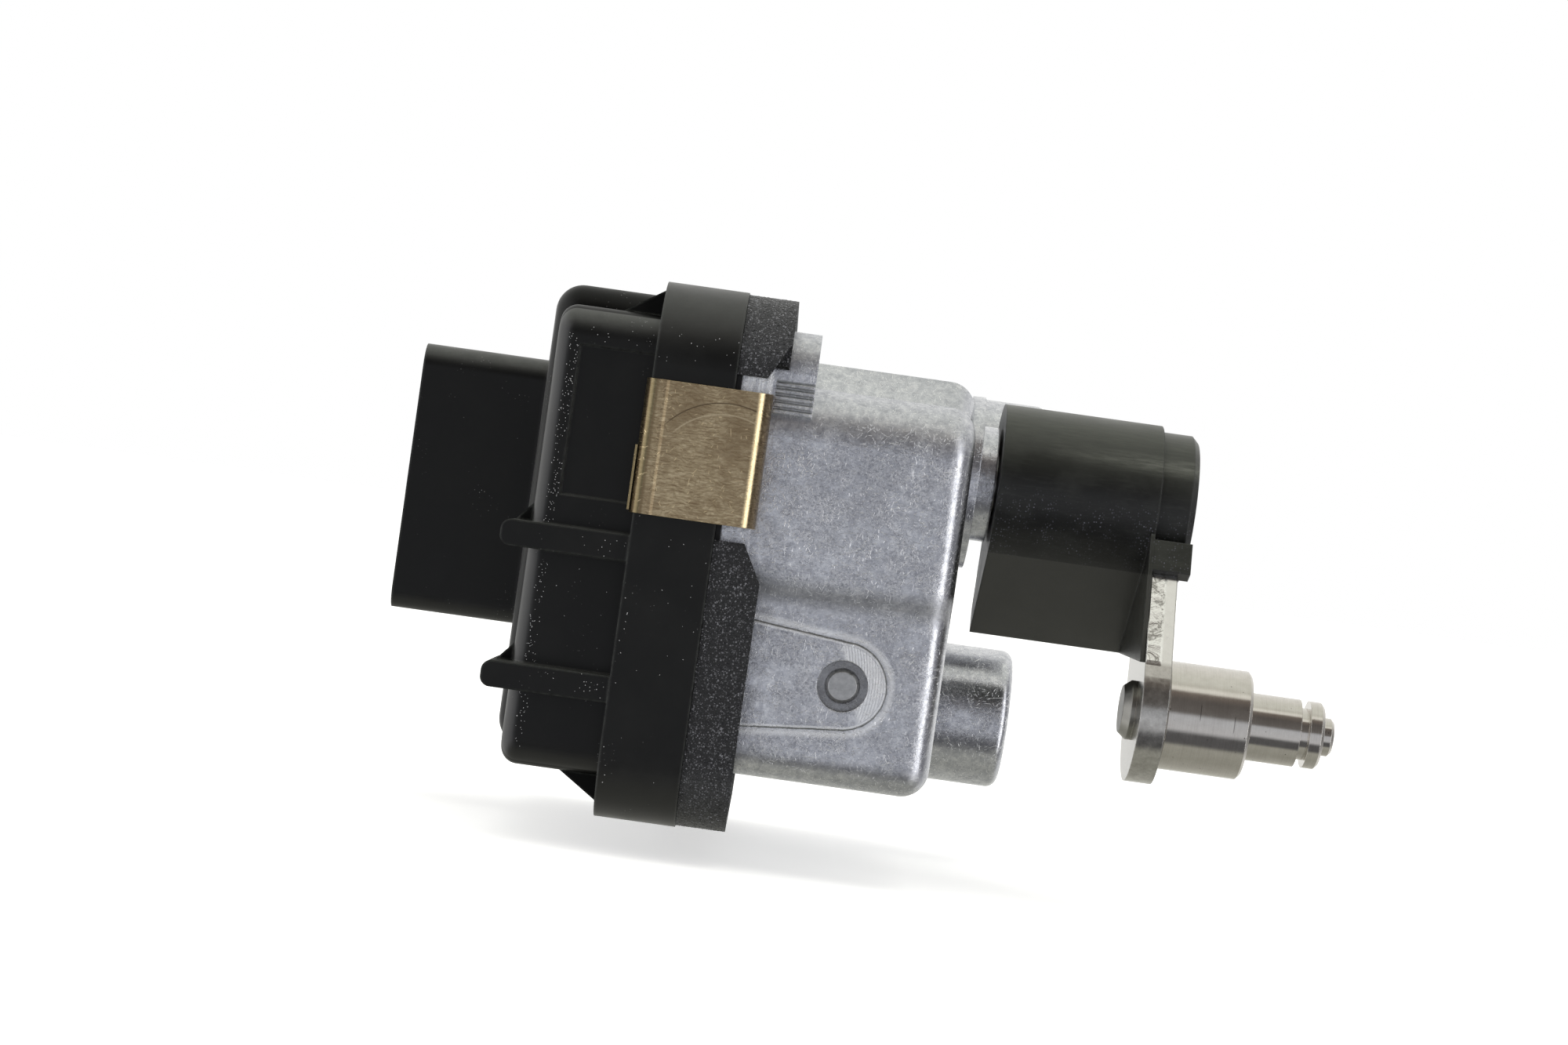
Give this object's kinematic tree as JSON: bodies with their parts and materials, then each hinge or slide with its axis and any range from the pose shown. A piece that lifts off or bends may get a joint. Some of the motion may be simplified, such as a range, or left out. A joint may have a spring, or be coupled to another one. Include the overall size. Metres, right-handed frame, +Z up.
{
  "type": "wastegate actuator",
  "caption": "Electronic wastegate actuator: worm-driven output shaft with lever and pin, cast gear housing, clipped cover with socket.",
  "frame": {"origin": "on the output shaft's axis, in the plane of the mounting faces", "axes": "+X along the output shaft, out of the housing; +Z up, towards the side opposite the lever; +Y away from the lever pin's side"},
  "size_m": [0.1274, 0.0817, 0.07],
  "materials": {
    "cover_plastic": "moulded, satin, spark-textured skirt",
    "sleeve_plastic": "moulded, satin",
    "cast_housing": "die-cast, mottled and scuffed",
    "spring_bronze": "rolled, brushed",
    "pressed_steel": "pressed, sheared edge",
    "turned_steel": "turned, plated",
    "ground_steel": "ground",
    "plated_steel": "zinc plated",
    "sintered_bronze": "sintered, oiled",
    "tinned_contact": "tin plated",
    "seal_rubber": "moulded rubber",
    "inner_plastic": "moulded, natural",
    "magnet": "sintered ferrite",
    "wound_core": "laminated core with copper windings",
    "board_laminate": "solder mask",
    "component_case": "moulded cases"
  },
  "bodies": {
    "root": {"rear_cover": "cover_plastic", "connector_pins": "tinned_contact", "cover_gasket": "seal_rubber", "gear_housing": "cast_housing", "clip_near": "spring_bronze", "clip_far_upper": "spring_bronze", "clip_far_lower": "spring_bronze", "motor_can": "plated_steel", "motor_end_cap": "inner_plastic", "motor_magnets": "magnet", "motor_terminals": "tinned_contact", "motor_screws": "plated_steel", "motor_contacts": "tinned_contact", "worm_bush": "sintered_bronze", "worm_thrust_pin": "ground_steel", "shaft_bush_inner": "sintered_bronze", "shaft_bush_outer": "sintered_bronze", "shaft_seal": "seal_rubber", "shaft_washer": "ground_steel", "circuit_board": "board_laminate", "board_screws": "plated_steel", "board_components": "component_case"},
    "lever": {"output_shaft": "ground_steel", "worm_sector": "inner_plastic", "sensor_rotor": "inner_plastic", "hub_sleeve": "sleeve_plastic", "lever_arm": "pressed_steel", "lever_pin": "turned_steel"},
    "worm_drive": {"worm": "ground_steel", "motor_shaft": "ground_steel", "motor_rotor": "wound_core"}
  },
  "joints": [
    {"name": "lever_turn", "type": "hinge", "parent": "root", "child": "lever", "pos_m": [0, 0, 0], "axis": [1, 0, 0], "range_deg": [-28, 28]},
    {"name": "worm_turn", "type": "hinge", "parent": "root", "child": "worm_drive", "pos_m": [-0.0255, 0, -0.0286], "axis": [0, 1, 0], "range_deg": [-1290, 1290]}
  ],
  "couplings": [
    {"joint": "worm_turn", "follows": "lever_turn", "ratio": -46}
  ]
}
